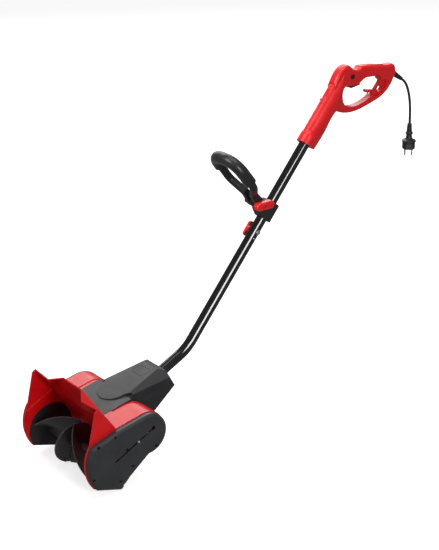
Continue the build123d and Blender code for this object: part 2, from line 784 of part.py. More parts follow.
wing_span = 42.0
wing_width = 14.0
with BuildPart() as wing_knob:
    bar(8.5, -tube_radius - 13, -tube_radius - 0.6, bolt_y, bolt_z)
    with BuildSketch(side(-tube_radius - 16)) as wings:
        with Locations(Location((bolt_y, bolt_z), 52)):
            SlotOverall(wing_span, wing_width)
    extrude(wings.sketch, 8)
    fillet(wing_knob.faces().sort_by(Axis.X)[0].edges(), 2.0)
    bar(3.0 + running_gap, -tube_radius - 9 - running_gap, 0, bolt_y, bolt_z, mode=Mode.SUBTRACT)
save(wing_knob, "wing_knob")

with BuildPart() as snap_pin:
    bar(2.6, fit_radius - 2.0, tube_radius + 1.2, *pin_place)
    fillet(snap_pin.faces().sort_by(Axis.X)[-1].edges(), 1.0)
save(snap_pin, "snap_pin")

# ---------------------------------------------------------------- clamp of the loop handle
clamp_start = 66.0
clamp_end = 116.0
clamp_middle = (clamp_start + clamp_end) / 2
hinge_across = 45.0
hinge = shaft_point(clamp_middle, hinge_across)
hinge_radius = 13.0
clamp_half = 17.5
clamp_back = 18.0           # tube axis to the outer face of the clamp behind the tube


def clamp_body(x_from, x_to):
    """Block round the tube with a lug for the hinge, in the part being built."""
    with BuildSketch(side(x_from)) as block:
        Polygon(
            shaft_point(clamp_start, -clamp_back), shaft_point(clamp_end, -clamp_back),
            shaft_point(clamp_end, 14),
            shaft_point(clamp_middle + 14, 36), shaft_point(clamp_middle - 14, 36),
            shaft_point(clamp_start, 14), align=None,
        )
        with Locations(hinge):
            Circle(hinge_radius)
        Polygon(
            shaft_point(clamp_middle + 13, 45), shaft_point(clamp_middle + 20, 12),
            shaft_point(clamp_middle - 20, 12), shaft_point(clamp_middle - 13, 45), align=None,
        )
    extrude(block.sketch, x_to - x_from)


lug_half = 11.0


def clamp_half_shell(outward):
    """One half of the clamp; outward is 1 on the belt side and -1 on the other."""
    with BuildPart(Plane.XY, mode=Mode.PRIVATE) as half:
        clamp_body(0, outward * clamp_half)
        outer = half.faces().sort_by(Axis.X)[-1 if outward > 0 else 0]
        chamfer(outer.edges(), 2.0)
        with BuildSketch(side(outward * clamp_half)) as lug_cut:
            with Locations(hinge):
                Circle(hinge_radius + 6)
        extrude(lug_cut.sketch, -outward * (clamp_half - lug_half), mode=Mode.SUBTRACT)
        with Locations(shaft_plane(clamp_start - 5).location):
            Cylinder(tube_radius, 80, align=on_base, mode=Mode.SUBTRACT)
        bar(4.0, -50, 50, *hinge, mode=Mode.SUBTRACT)
    return half.part


with BuildPart() as clamp_left:
    add(clamp_half_shell(-1))
save(clamp_left, "clamp_left")
with BuildPart() as clamp_right:
    add(clamp_half_shell(1))
save(clamp_right, "clamp_right")

# ---------------------------------------------------------------- loop handle
loop_lean = 127.5           # direction of the loop from its hinge, degrees above backwards
loop_reach = 172.0          # hinge to the middle of the front bar
loop_half = 46.0            # hinge axis to the middle of an arm, across
loop_core = 10.5
grip_radius = 16.0
loop_plane = Plane(
    origin=at(0, *hinge), x_dir=(1, 0, 0),
    z_dir=(0, -sin(radians(loop_lean)), cos(radians(loop_lean))),
)
ear_x = 17.0                # middle of the flat necks that sit on the hinge
neck_length = 37.0
with BuildPart() as loop_handle:
    with BuildLine(loop_plane) as loop_path:
        FilletPolyline(
            (-ear_x - 1, neck_length), (-loop_half - 2, 78), (-loop_half, loop_reach),
            (loop_half, loop_reach),
            (loop_half + 2, 78), (ear_x + 1, neck_length), radius=[30, 38, 38, 30],
        )
    with BuildSketch(Plane(origin=loop_path.wire() @ 0, z_dir=loop_path.wire() % 0)):
        Circle(loop_core)
    sweep(path=loop_path.wire())
    for x in (-ear_x - 5.5, ear_x - 5.5):
        bar(hinge_radius, x, x + 11, *hinge)
        with BuildSketch(side(x)):
            Polygon(
                along(hinge, loop_lean, 0, 12), along(hinge, loop_lean, neck_length + 5, 9),
                along(hinge, loop_lean, neck_length + 5, -9), along(hinge, loop_lean, 0, -12), align=None,
            )
        extrude(amount=11)
    bar(4.0 + running_gap, -50, 50, *hinge, mode=Mode.SUBTRACT)
save(loop_handle, "loop_handle")

grip_end = 128.0            # the same, on the far arm
grip_start = 96.0           # lower end of the soft grip on the arm, from the hinge
with BuildPart() as loop_grip:
    with BuildLine(loop_plane) as grip_path:
        FilletPolyline(
            (-loop_half - 0.94, grip_end), (-loop_half, loop_reach), (loop_half, loop_reach),
            (loop_half + 1.6, grip_start), radius=38,
        )
    with BuildSketch(Plane(origin=grip_path.wire() @ 0, z_dir=grip_path.wire() % 0)):
        Circle(grip_radius)
        Circle(loop_core, mode=Mode.SUBTRACT)
    sweep(path=grip_path.wire())
save(loop_grip, "loop_grip")

# knob and bolt through the hinge of the loop
knob_x = 23.2
knob_length = 58.0
knob_width = 21.0
knob_depth = 15.0
with BuildPart() as bar_knob:
    with BuildSketch(side(knob_x + 3)) as knob_face:
        with Locations(Location(hinge, 0)):
            SlotOverall(knob_length, knob_width)
    extrude(knob_face.sketch, knob_depth)
    fillet(bar_knob.faces().sort_by(Axis.X)[-1].edges(), 4.0)
    bar(11.0, knob_x, knob_x + 3, *hinge)
    with BuildSketch(side(knob_x + 3 + knob_depth)) as recess:
        with Locations(Location(hinge, 0)):
            SlotOverall(knob_length - 18, knob_width - 14)
    extrude(recess.sketch, -2.0, mode=Mode.SUBTRACT)
    bar(3.0, knob_x + 12, knob_x + 4 + knob_depth, *hinge, mode=Mode.SUBTRACT)
    bar(4.0 + running_gap, knob_x - 1, knob_x + 10 + running_gap, *hinge, mode=Mode.SUBTRACT)
save(bar_knob, "bar_knob")
with BuildPart() as hinge_bolt:
    bar(4.0, -ear_x - 8, knob_x + 10, *hinge)
    with BuildSketch(side(-ear_x - 6 - 8)) as head:
        with Locations(hinge):
            RegularPolygon(7.5, 6)
    extrude(head.sketch, 8)
save(hinge_bolt, "hinge_bolt")
with BuildPart() as hinge_cap:
    bar(11.0, -ear_x - 18, -ear_x - 6, *hinge)
    chamfer(hinge_cap.faces().sort_by(Axis.X)[0].edges(), 1.5)
    with BuildSketch(side(-ear_x - 6 - 8)) as head:
        with Locations(hinge):
            RegularPolygon(7.5, 6)
    extrude(head.sketch, 8, mode=Mode.SUBTRACT)
save(hinge_cap, "hinge_cap")

# ---------------------------------------------------------------- rear handle
sleeve_start = 287.5        # lower end of the sleeve, from the seam along the shaft
sleeve_radius = 23.0
sleeve_half = 21.0          # the sleeve is an oval tube: half its width across the machine
sleeve_depth = 29.0         # and fore and aft
sleeve_shift = 6.5          # its middle lies behind the shaft
sleeve_steps = (397.3, 433.1)
step_depth = 0.9
fold = [(838, 960), (832.5, 889), (829, 858), (821, 808), (812, 775), (790, 600)]
fold_middle = (825.0, 833.0)
fold_edge = 15.5            # half thickness of the sleeve left at the fold
handle_half = 15.0
handle_round = 8.0
guard_half = 11.0


with BuildSketch(Plane.XY) as handle_outline:
    with BuildLine():
        front = Line(shaft_point(sleeve_start, sleeve_radius), (760, 808))
        Spline((760, 808), (806, 861), (834, 888), (848, 889), (861, 880), (892, 880))
        Spline((892, 880), (951, 874), (993, 869), (1008, 868), (1016, 856), (1010, 831))
        Spline((1010, 831), (996, 808), (964, 785), (926, 773), (890, 764), (850, 762), (807, 775))
        throat = Spline(
            (807, 775), (789, 764), (776, 744), (768, 727), (748, 705),
            shaft_point(sleeve_start, -sleeve_radius),
        )
        Line(throat @ 1, front @ 0)
    make_face()
with BuildSketch(Plane.XY) as handle_opening:
    with BuildLine():
        Spline(
            (841, 833), (862, 832), (883, 833), (905, 845), (930, 846), (956, 842), (964, 832), (954, 815),
            (934, 795), (912, 784), (889, 778), (868, 776), (846, 781), (833, 794), periodic=True,
        )
    make_face()
rear_web = [(966, 834), (952, 815), (936, 797), (948, 789), (972, 797), (984, 812), (984, 830)]
web_half = 4.0
web_hole = 7.5
web_hole_place = (965.0, 807.0)
hook_side = [(922, 811), (948, 806), (948, 797), (922, 804)]
peg_place = (922.0, 807.0)
peg_radius = 4.2
peg_half = 7.5
guard_side = [(826, 740), (846, 790), (905, 806), (958, 838), (985, 830), (1003, 812), (1003, 740)]
switch_room = [(806, 842), (832, 872), (890, 868), (890, 852), (846, 844), (828, 826), (812, 822)]
trigger_side = [(845, 840), (852, 829), (864, 825), (893, 829), (896, 846), (872, 851), (848, 849)]
trigger_pivot = (850.0, 843.0)
trigger_half = 7.0
button_place = (858.4, 858.4)
button_radius = 6.0
boot_place = (1006.4, 847.3)
boot_angle = -33.0
boot_length = 52.0
boot_radius = 8.0
handle_screws = [(776, 806), (818, 782), (938, 862), (996, 852)]


def boot_plane(distance):
    """Plane square to the cord boot."""
    return Plane(
        origin=at(0, *along(boot_place, boot_angle, distance)), x_dir=(1, 0, 0),
        z_dir=(0, cos(radians(boot_angle)), sin(radians(boot_angle))),
    )


def sleeve_oval(inset=0.0):
    """Section of the sleeve square to the shaft."""
    with BuildSketch(Plane.XY) as oval:
        with Locations((0, sleeve_shift)):
            Ellipse(sleeve_half - inset, sleeve_depth - inset)
    return oval.sketch


sleeve_section = sleeve_oval()
step_section = sleeve_oval(step_depth)
with BuildPart() as sleeve_block:
    with BuildSketch(shaft_plane(sleeve_start)):
        add(sleeve_section)
    extrude(amount=260)
    with BuildSketch(side()):
        add(handle_outline.sketch)
        Polygon((600, 600), (600, 960), *fold, align=None, mode=Mode.INTERSECT)
    extrude(amount=40, both=True, mode=Mode.INTERSECT)
    # flat facets that lead from the sleeve to the grip
    for across in (1, -1):
        facet = Plane(origin=at(fold_edge * across, *fold_middle), z_dir=(0.9 * across, 0.432, -0.061))
        with Locations(facet.location):
            Box(200, 200, 40, align=on_base, mode=Mode.SUBTRACT)
    for distance in sleeve_steps:
        with BuildSketch(shaft_plane(distance)):
            add(sleeve_section)
            add(step_section, mode=Mode.SUBTRACT)
        extrude(amount=step_depth, mode=Mode.SUBTRACT)

with BuildPart() as handle_block:
    with BuildSketch(side(-handle_half)):
        add(handle_outline.sketch)
    extrude(amount=2 * handle_half)
    faces = handle_block.faces().sort_by(Axis.X)
    fillet(faces[0].edges() + faces[-1].edges(), handle_round)
    with BuildSketch(side(-handle_half)):
        add(handle_opening.sketch)
    extrude(amount=2 * handle_half, mode=Mode.SUBTRACT)
    flats = handle_block.faces().sort_by(Axis.X)
    inner_edges = flats[0].inner_wires()[0].edges() + flats[-1].inner_wires()[0].edges()
    fillet(inner_edges, handle_round - 2)
    # the bow behind the fingers is slimmer than the rest
    with BuildSketch(side(guard_half)):
        Polygon(*guard_side, align=None)
    extrude(amount=20, mode=Mode.SUBTRACT)
    with BuildSketch(side(-guard_half)):
        Polygon(*guard_side, align=None)
    extrude(amount=-20, mode=Mode.SUBTRACT)
    # thin web with a hole in the rear corner of the bow, and a hook for a loop of extension cord
    for inward in (-1, 1):
        with BuildSketch(side(web_half * inward)):
            Polygon(*rear_web, align=None)
        extrude(amount=20 * inward, mode=Mode.SUBTRACT)
    bar(web_hole, -20, 20, *web_hole_place, mode=Mode.SUBTRACT)
    with BuildSketch(side(-web_half)):
        Polygon(*hook_side, align=None)
    extrude(amount=2 * web_half)
    bar(peg_radius, -peg_half, peg_half, *peg_place)
    # the grip and the bow end at the oval sleeve
    with BuildSketch(side()):
        Polygon((808, 960), (800, 850), (790, 700), (1100, 700), (1100, 960), align=None)
    extrude(amount=40, both=True, mode=Mode.INTERSECT)
    add(sleeve_block.part)
    # round sleeve on the shaft
    with Locations(shaft_plane(sleeve_start).location):
        Cylinder(sleeve_radius, 24, align=on_base)
    with Locations(shaft_plane(sleeve_start + 24).location):
        Cone(sleeve_radius, sleeve_half - 4, 30, align=on_base)
    with Locations(shaft_plane(sleeve_start - 1).location):
        Cylinder(tube_radius, handle_seat - sleeve_start + 1, align=on_base, mode=Mode.SUBTRACT)
    with Locations(shaft_plane(handle_seat).location):
        Cylinder(5, 75, align=on_base, mode=Mode.SUBTRACT)
    # rooms for the switch, the trigger and the lock button
    with BuildSketch(side(-12)):
        Polygon(*switch_room, align=None)
    extrude(amount=24, mode=Mode.SUBTRACT)
    with BuildSketch(side(-trigger_half - gap)):
        Polygon((841, 843), (846, 826), (899, 824), (899, 850), (890, 860), (846, 860), align=None)
    extrude(amount=2 * (trigger_half + gap), mode=Mode.SUBTRACT)
    bar(button_radius + gap, 0, 30, *button_place, mode=Mode.SUBTRACT)
    # bore and seat of the cord boot
    with Locations(boot_plane(-8).location):
        Cylinder(boot_radius, 60, align=on_base, mode=Mode.SUBTRACT)
    with Locations(boot_plane(-80).location):
        Cylinder(5, 80, align=on_base, mode=Mode.SUBTRACT)
    for y, z in handle_screws:
        bar(screw_radius, -12, 10, y, z, mode=Mode.SUBTRACT)
        bar(screw_head_radius, -30, -12, y, z, mode=Mode.SUBTRACT)

with BuildPart() as handle_left:
    add(handle_block.part)
    split(bisect_by=side(), keep=Keep.BOTTOM)
save(handle_left, "handle_left")
with BuildPart() as handle_right:
    add(handle_block.part)
    split(bisect_by=side(), keep=Keep.TOP)
save(handle_right, "handle_right")

with BuildPart() as trigger:
    with BuildSketch(side(-trigger_half)):
        Polygon(*trigger_side, align=None)
    extrude(amount=2 * trigger_half)
    chamfer(trigger.faces().sort_by(Axis.X)[0].edges() + trigger.faces().sort_by(Axis.X)[-1].edges(), 1.0)
    bar(1.5 + running_gap, -10, 10, *trigger_pivot, mode=Mode.SUBTRACT)
save(trigger, "trigger")
with BuildPart() as trigger_pin:
    bar(1.5, -trigger_half - gap, trigger_half + gap, *trigger_pivot)
save(trigger_pin, "trigger_pin")
with BuildPart() as lock_button:
    bar(button_radius, 9, handle_half + 3.5, *button_place)
    fillet(lock_button.faces().sort_by(Axis.X)[-1].edges(), 1.2)
save(lock_button, "lock_button")
with BuildPart() as switch:
    with Locations(at(0, 832, 851)):
        Box(24, 16, 14)
save(switch, "switch")

# ---------------------------------------------------------------- cords
with BuildPart() as cord_boot:
    with Locations(boot_plane(-8).location):
        Cylinder(boot_radius, 24, align=on_base)
    with Locations(boot_plane(16).location):
        Cone(boot_radius, cord_radius + 1.6, boot_length - 16, align=on_base)
    for step in range(4):
        with BuildSketch(boot_plane(22 + 7 * step)) as groove:
            Circle(12)
            Circle(cord_radius + 1.5, mode=Mode.SUBTRACT)
        extrude(groove.sketch, 2.0, mode=Mode.SUBTRACT)
save(cord_boot, "cord_boot")

# cord from the boot to the plug, as straight stretches that turn towards the ground
cord_start = along(boot_place, boot_angle, boot_length)
cord_runs = [(boot_angle, 13), (-52, 16), (-66, 22), (-76, 32), (-85.5, 36), (-90, 25)]
cord_points = [cord_start]
for heading, run_length in cord_runs:
    cord_points.append(along(cord_points[-1], heading, run_length))
plug_y, plug_top = cord_points[-1]


def length(a, b):
    return hypot(b[0] - a[0], b[1] - a[1])


def turn_radius(a, b, c):
    """Radius of the tangent arc at b that uses 0.45 of the shorter straight beside it."""
    before = atan2(b[1] - a[1], b[0] - a[0])
    after = atan2(c[1] - b[1], c[0] - b[0])
    return 0.45 * min(length(a, b), length(b, c)) / tan(abs(after - before) / 2)


cord_radii = [turn_radius(*cord_points[i:i + 3]) for i in range(len(cord_points) - 2)]
with BuildPart() as mains_cord:
    with BuildLine(side()) as cord_path:
        FilletPolyline(*cord_points, radius=cord_radii)
    with BuildSketch(Plane(origin=cord_path.wire() @ 0, z_dir=cord_path.wire() % 0)):
        Circle(cord_radius)
    sweep(path=cord_path.wire())
save(mains_cord, "mains_cord")
print("cord radii", [round(radius, 1) for radius in cord_radii])
cord_length = cord_path.wire().length
cord_volume = cord_length * pi * cord_radius ** 2
print("cord length", round(cord_length, 2), "volume ratio", round(mains_cord.part.volume / cord_volume, 4))

plug_turn = 52.0            # degrees, the flat of the plug turned about the vertical
plug_face = plug_top - 71
pin_length = 19.0
pin_radius = 2.4
pin_spacing = 19.0
plug_axis = Vector(cos(radians(plug_turn)), sin(radians(plug_turn)), 0)
pin_tail = 10.0             # part of a pin inside the plug
tail_radius = 1.9
plug_outline = [
    (0, 0), (16.2, 0), (17.6, 1.6), (17.6, 19.4), (19.4, 20.4), (19.4, 23.8), (17.4, 25), (10.4, 27.5),
    (8.8, 31), (7.6, 40), (10.4, 43), (10.4, 46), (7.8, 48), (6.2, 70), (5.2, 71), (0, 71),
]
grip_ring_count = 5
with BuildPart() as plug_body:
    with BuildSketch(side()):
        Polygon(*[(plug_y + radius, plug_face + height) for radius, height in plug_outline], align=None)
    revolve(axis=Axis(at(0, plug_y, 0), (0, 0, 1)))
    for step in range(grip_ring_count):
        with BuildSketch(Plane(origin=at(0, plug_y, plug_face + 50 + 3.8 * step))) as ring:
            Circle(9)
            Circle(6.0 - 0.25 * step, mode=Mode.SUBTRACT)
        extrude(ring.sketch, 1.6, mode=Mode.SUBTRACT)
    # flat finger places on both sides of the body
    with BuildSketch(Plane(origin=at(0, plug_y, plug_face - 1), x_dir=plug_axis, z_dir=(0, 0, 1))) as flat:
        with Locations((0, 19.5), (0, -19.5)):
            Rectangle(24, 8)
    extrude(flat.sketch, 18, mode=Mode.SUBTRACT)
    for offset_x in (-pin_spacing / 2, pin_spacing / 2):
        with Locations(Vector(*at(0, plug_y, plug_face)) + plug_axis * offset_x):
            Cylinder(tail_radius, pin_tail, align=on_base, mode=Mode.SUBTRACT)
save(plug_body, "plug_body")
with BuildPart() as plug_pins:
    for offset_x in (-pin_spacing / 2, pin_spacing / 2):
        with Locations(Vector(*at(0, plug_y, plug_face - pin_length)) + plug_axis * offset_x):
            Cylinder(pin_radius, pin_length, align=on_base)
            Cylinder(tail_radius, pin_length + pin_tail, align=on_base)
    tips = plug_pins.faces().filter_by(Plane.XY).group_by(Axis.Z)[0]
    chamfer(tips.edges(), 0.8)
save(plug_pins, "plug_pins")

# cable inside the shaft, past the bolt
cable_radius = 2.5
cable_across = -7.0
cable_bend = bend_radius - cable_across
half_turn = (tube_angle - stub_angle) / 2
with BuildPart() as inner_cable:
    with BuildLine(side()) as cable_path:
        FilletPolyline(
            along((260.1, 198.3), 180 + stub_angle, 92, -cable_across),
            along(tube_corner, (tube_angle + stub_angle) / 2, 0, cable_across / cos(radians(half_turn))),
            shaft_point(handle_seat - 20, cable_across), radius=cable_bend,
        )
    with BuildSketch(Plane(origin=cable_path.wire() @ 0, z_dir=cable_path.wire() % 0)):
        Circle(cable_radius)
    sweep(path=cable_path.wire())
save(inner_cable, "inner_cable")

# ---------------------------------------------------------------- screws
def screw(x_head, x_tip, y, z):
    """Round-headed screw across the machine, in the part being built."""
    inward = 1 if x_tip > x_head else -1
    bar(screw_head_radius, min(x_head, x_head + 2.4 * inward), max(x_head, x_head + 2.4 * inward), y, z)
    bar(screw_radius, min(x_head, x_tip), max(x_head, x_tip), y, z)
    with Locations(at(x_head, y, z)):
        Box(2.4, 4.2, 0.9, mode=Mode.SUBTRACT)
        Box(2.4, 0.9, 4.2, mode=Mode.SUBTRACT)


with BuildPart() as cover_screw_set:
    for y, z in cover_screws:
        screw(belt_cover_face - screw_sink + 2.4, wall_outer, y, z)
    for y, z in left_screws:
        screw(screw_sink - side_cover_face - 2.4, -wall_outer, y, z)
save(cover_screw_set, "cover_screws")
with BuildPart() as tension_screw:
    bar(screw_head_radius, belt_cover_face, belt_cover_face + 2.0, *face_screw)
    fillet(tension_screw.faces().sort_by(Axis.X)[-1].edges(), 0.8)
    bar(groove_width / 2 - 0.1, belt_cover_face - cover_wall, belt_cover_face + 0.5, *face_screw)
    with Locations(at(belt_cover_face + 2.0, *face_screw)):
        Box(1.6, 4.4, 0.9, mode=Mode.SUBTRACT)
save(tension_screw, "tension_screw")
with BuildPart() as handle_screw_set:
    for y, z in handle_screws:
        screw(-14.4, 10, y, z)
save(handle_screw_set, "handle_screws")
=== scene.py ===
"""Looks of the electric snow thrower shovel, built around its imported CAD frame."""
from math import cos, radians, sin

import bpy
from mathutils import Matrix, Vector


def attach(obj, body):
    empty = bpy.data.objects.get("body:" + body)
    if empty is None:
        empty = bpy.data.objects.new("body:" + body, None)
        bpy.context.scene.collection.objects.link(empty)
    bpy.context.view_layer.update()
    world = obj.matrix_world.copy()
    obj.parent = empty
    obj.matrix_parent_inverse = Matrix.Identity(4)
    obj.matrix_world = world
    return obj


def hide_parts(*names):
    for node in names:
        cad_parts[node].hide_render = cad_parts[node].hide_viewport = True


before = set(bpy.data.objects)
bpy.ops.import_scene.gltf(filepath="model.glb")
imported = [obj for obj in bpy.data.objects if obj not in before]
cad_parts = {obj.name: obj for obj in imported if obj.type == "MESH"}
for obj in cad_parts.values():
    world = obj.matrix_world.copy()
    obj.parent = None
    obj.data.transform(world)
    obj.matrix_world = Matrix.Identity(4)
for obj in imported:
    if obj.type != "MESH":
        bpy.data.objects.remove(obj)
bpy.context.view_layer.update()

SCENE = bpy.context.scene
CENTRE_X = -0.00325         # middle of the machine
WHITE = (1.0, 1.0, 1.0, 1.0)


# ---------------------------------------------------------------- camera
LENS = 98.4853              # mm
SENSOR = 36.0               # mm
AZIMUTH = radians(52.0261)
ELEVATION = radians(22.3135)
DISTANCE = 3.82926          # metres, as are all lengths below
TARGET = Vector((CENTRE_X, -0.035462, 0.406831))
NEAREST = 0.05
FARTHEST = 50.0

towards_camera = Vector((
    sin(AZIMUTH) * cos(ELEVATION), -cos(AZIMUTH) * cos(ELEVATION), sin(ELEVATION),
))
camera_data = bpy.data.cameras.new("camera")
camera_data.lens = LENS
camera_data.sensor_width = SENSOR
camera_data.sensor_fit = "AUTO"
camera_data.clip_start = NEAREST
camera_data.clip_end = FARTHEST
camera = bpy.data.objects.new("camera", camera_data)
camera.location = TARGET + towards_camera * DISTANCE
camera.rotation_euler = (-towards_camera).to_track_quat("-Z", "Y").to_euler()
SCENE.collection.objects.link(camera)
SCENE.camera = camera


# ---------------------------------------------------------------- node materials
MIX_FIRST = 6               # colour sockets of the mix node
MIX_SECOND = 7
MIX_RESULT = 2
MIDDLE = (0.3, 0.7)         # range that most of a noise falls in
FLAT = 0.985                # rounded normal against true one: from here up it is a face
SHARP = 0.90                # and from here down an edge
EDGE_SAMPLES = 6


class Nodes:
    """A short way to write a node tree. Pattern scales are in waves per metre."""

    def __init__(self, name):
        self.material = bpy.data.materials.new(name)
        self.material.use_nodes = True
        self.tree = self.material.node_tree
        self.tree.nodes.clear()
        self.output = self.tree.nodes.new("ShaderNodeOutputMaterial")
        self.shader = self.tree.nodes.new("ShaderNodeBsdfPrincipled")
        self.tree.links.new(self.shader.outputs[0], self.output.inputs[0])
        self.place = self.tree.nodes.new("ShaderNodeTexCoord").outputs["Object"]

    def node(self, kind, **settings):
        made = self.tree.nodes.new(kind)
        for key, value in settings.items():
            setattr(made, key, value)
        return made

    def link(self, source, target):
        self.tree.links.new(source, target)

    def stretched(self, scale):
        mapping = self.node("ShaderNodeMapping")
        mapping.inputs["Scale"].default_value = scale
        self.link(self.place, mapping.inputs["Vector"])
        return mapping.outputs[0]

    def noise(self, scale, detail=2.0, rough=0.5, vector=None):
        made = self.node("ShaderNodeTexNoise")
        made.inputs["Scale"].default_value = scale
        made.inputs["Detail"].default_value = detail
        made.inputs["Roughness"].default_value = rough
        self.link(vector or self.place, made.inputs["Vector"])
        return made.outputs["Fac"]

    def ramp(self, value, low, high, start=0.0, end=1.0):
        made = self.node("ShaderNodeMapRange")
        made.inputs["From Min"].default_value = low
        made.inputs["From Max"].default_value = high
        made.inputs["To Min"].default_value = start
        made.inputs["To Max"].default_value = end
        self.link(value, made.inputs["Value"])
        return made.outputs[0]

    def mix(self, factor, first, second):
        made = self.node("ShaderNodeMix", data_type="RGBA")
        wanted = (("Factor", factor), (MIX_FIRST, first), (MIX_SECOND, second))
        for socket_name, value in wanted:
            socket = made.inputs[socket_name]
            if hasattr(value, "links"):
                self.link(value, socket)
            elif isinstance(value, float):
                socket.default_value = value
            else:
                socket.default_value = (*value, 1.0)
        return made.outputs[MIX_RESULT]

    def maths(self, operation, first, second):
        made = self.node("ShaderNodeMath", operation=operation)
        for socket, value in zip(made.inputs, (first, second)):
            if hasattr(value, "links"):
                self.link(value, socket)
            else:
                socket.default_value = value
        return made.outputs[0]

    def bump(self, height, distance, strength=1.0, under=None):
        made = self.node("ShaderNodeBump")
        made.inputs["Strength"].default_value = strength
        made.inputs["Distance"].default_value = distance
        self.link(height, made.inputs["Height"])
        if under:
            self.link(under, made.inputs["Normal"])
        return made.outputs[0]

    def bands(self, scale, direction, distortion=0.0):
        """Parallel bands across the given direction."""
        made = self.node("ShaderNodeTexWave", wave_type="BANDS", bands_direction=direction)
        made.inputs["Scale"].default_value = scale
        made.inputs["Distortion"].default_value = distortion
        self.link(self.place, made.inputs["Vector"])
        return made.outputs["Fac"]

    def rounded(self, radius):
        """The normal, as if edges were rounded to this radius."""
        made = self.node("ShaderNodeBevel", samples=EDGE_SAMPLES)
        made.inputs["Radius"].default_value = radius
        return made.outputs[0]

    def edges_for_wear_and_highlight(self, round_normal):
        """Nearly 1 on sharp edges and 0 on faces."""
        true = self.node("ShaderNodeNewGeometry")
        dot = self.node("ShaderNodeVectorMath", operation="DOT_PRODUCT")
        self.link(round_normal, dot.inputs[0])
        self.link(true.outputs["Normal"], dot.inputs[1])
        return self.ramp(dot.outputs["Value"], FLAT, SHARP)


DUST_GREY = (0.45, 0.45, 0.45)
SCRATCH_STRETCH = (1.0, 0.16, 6.0)
RIPPLE_DEPTH = 0.0004
RIPPLE_STRENGTH = 0.18
COAT_ROUGH = 0.12


def plastic(name, colour, rough, grain=900.0, grain_depth=0.00004, worn_and_lit_colour=None, wear_and_highlight=0.5,
            mottle=0.12, coat=0.0, dust=0.0, edge=0.0009, scuffs=0.06, shine=0.5):
    """Moulded plastic: uneven colour, fine grain, long scuffs and lighter edges, partly rubbed
    wear and partly a painted edge highlight.
    """
    n = Nodes(name)
    darker = tuple(part * (1 - mottle) for part in colour)
    lighter = tuple(min(1.0, part * (1 + mottle)) for part in colour)
    cloud = n.ramp(n.noise(14.0, detail=4.0, rough=0.6), *MIDDLE)
    base = n.mix(cloud, darker, lighter)
    round_normal = n.rounded(edge)
    patches = n.ramp(n.noise(60.0, detail=3.0, rough=0.6), low=0.35, high=0.62, start=0.25)
    # Lighter colour on sharp edges: rubbed wear, and where the edge colour is pale and at full
    # strength (the auger), a painted highlight.
    worn_and_lit_edges = n.maths("MULTIPLY", n.edges_for_wear_and_highlight(round_normal), patches)
    worn_and_lit_colour = worn_and_lit_colour or tuple(min(1.0, part * 1.5 + 0.02) for part in colour)
    base = n.mix(n.maths("MULTIPLY", worn_and_lit_edges, wear_and_highlight), base, worn_and_lit_colour)
    if dust:
        grains = n.noise(420.0, detail=2.0, rough=0.7)
        base = n.mix(n.ramp(grains, low=0.66, high=0.76, end=dust), base, DUST_GREY)
    n.link(base, n.shader.inputs["Base Color"])
    scratch = n.noise(40.0, detail=5.0, rough=0.7, vector=n.stretched(SCRATCH_STRETCH))
    streaks = n.ramp(scratch, low=0.45, high=0.75, end=scuffs)
    uneven = n.ramp(n.noise(28.0, detail=3.0), *MIDDLE, start=rough - 0.04, end=rough + 0.05)
    n.link(n.maths("ADD", uneven, streaks), n.shader.inputs["Roughness"])
    surface = n.bump(n.noise(grain, detail=3.0, rough=0.65), grain_depth, under=round_normal)
    ripple = n.bump(n.noise(22.0, detail=1.0), RIPPLE_DEPTH, RIPPLE_STRENGTH, surface)
    n.link(ripple, n.shader.inputs["Normal"])
    n.shader.inputs["Specular IOR Level"].default_value = shine
    n.shader.inputs["Coat Weight"].default_value = coat
    n.shader.inputs["Coat Roughness"].default_value = COAT_ROUGH
    return n.material


STAIN = (0.10, 0.09, 0.08)
TURNING_GRAIN = 1200.0
TURNING_DEPTH = 0.00002
METAL_EDGE = 0.0004


def metal(name, colour, rough, brushed=(1.0, 1.0, 1.0), stains=0.25):
    """Bare metal: turning marks, faint stains and a soft unevenness of the polish."""
    n = Nodes(name)
    spots = n.ramp(n.noise(180.0, detail=4.0, rough=0.7), low=0.5, high=0.75, end=stains)
    n.link(n.mix(spots, colour, STAIN), n.shader.inputs["Base Color"])
    n.shader.inputs["Metallic"].default_value = 1.0
    lines = n.noise(TURNING_GRAIN, detail=3.0, rough=0.6, vector=n.stretched(brushed))
    polish = n.ramp(lines, *MIDDLE, start=rough - 0.07, end=rough + 0.1)
    n.link(polish, n.shader.inputs["Roughness"])
    surface = n.bump(lines, TURNING_DEPTH, strength=0.6, under=n.rounded(METAL_EDGE))
    n.link(surface, n.shader.inputs["Normal"])
    return n.material


TUBE_BLACK = (0.003, 0.003, 0.0033)
TUBE_PATCH = (0.006, 0.006, 0.0065)
TUBE_SPECK = (0.12, 0.12, 0.125)
TUBE_STRETCH = (8.0, 0.5, 0.5)
PEEL_DEPTH = 0.00003
TUBE_SHINE = 0.45
TUBE_COAT = 0.25
TUBE_COAT_ROUGH = 0.04


def painted_tube(name):
    """Gloss black powder coat with orange peel, small specks and fine scratches."""
    n = Nodes(name)
    base = n.mix(n.ramp(n.noise(40.0, detail=3.0), *MIDDLE), TUBE_BLACK, TUBE_PATCH)
    specks = n.ramp(n.noise(700.0, detail=2.0, rough=0.6), low=0.72, high=0.80, end=0.2)
    n.link(n.mix(specks, base, TUBE_SPECK), n.shader.inputs["Base Color"])
    scratch = n.noise(60.0, detail=5.0, rough=0.7, vector=n.stretched(TUBE_STRETCH))
    gloss = n.ramp(scratch, low=0.35, high=0.8, start=0.07, end=0.15)
    n.link(gloss, n.shader.inputs["Roughness"])
    n.link(n.bump(n.noise(420.0), PEEL_DEPTH), n.shader.inputs["Normal"])
    n.shader.inputs["Specular IOR Level"].default_value = TUBE_SHINE
    n.shader.inputs["Coat Weight"].default_value = TUBE_COAT
    n.shader.inputs["Coat Roughness"].default_value = TUBE_COAT_ROUGH
    return n.material


RUBBER_EDGE = 0.0006
RIB_DEPTH = 0.0003
SHEEN_ROUGH = 0.4


